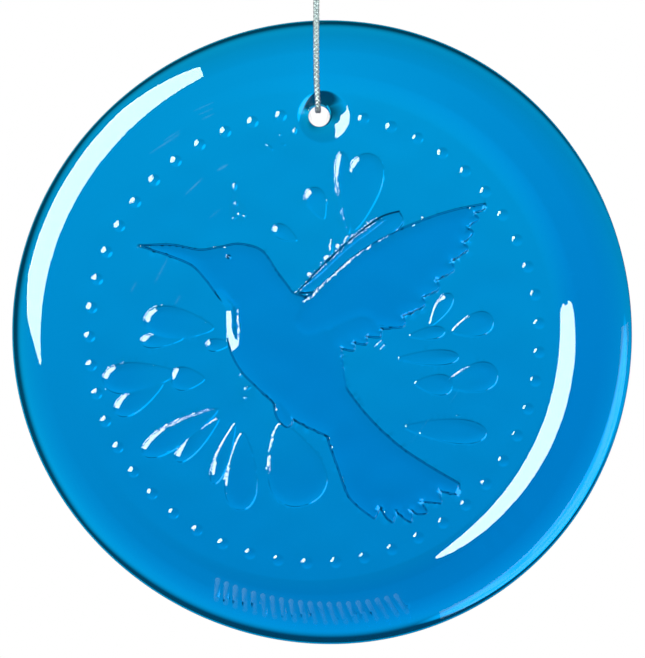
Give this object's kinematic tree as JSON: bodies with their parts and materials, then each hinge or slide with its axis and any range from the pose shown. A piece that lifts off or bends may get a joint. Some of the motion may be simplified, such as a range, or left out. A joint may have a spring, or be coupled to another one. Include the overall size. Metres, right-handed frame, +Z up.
{
  "type": "moulded glass suncatcher",
  "caption": "Round disc of clear blue moulded glass with a hummingbird, petals and a ring of pearls in relief, hung on a loop of metallic cord.",
  "frame": {"origin": "where a hook holds the loop of cord, just under its knot", "axes": "-Y out of the disc's moulded front, +Y out of its flat back, +Z up, +X to the right of someone who faces the front"},
  "size_m": [0.1515, 0.0117, 0.1773],
  "materials": {
    "glass": "clear blue glass, fire-polished",
    "cord": "braided silver metallic thread"
  },
  "bodies": {
    "root": {"glass_disc": "glass", "hanging_cord": "cord", "cord_knot": "cord"}
  },
  "joints": []
}
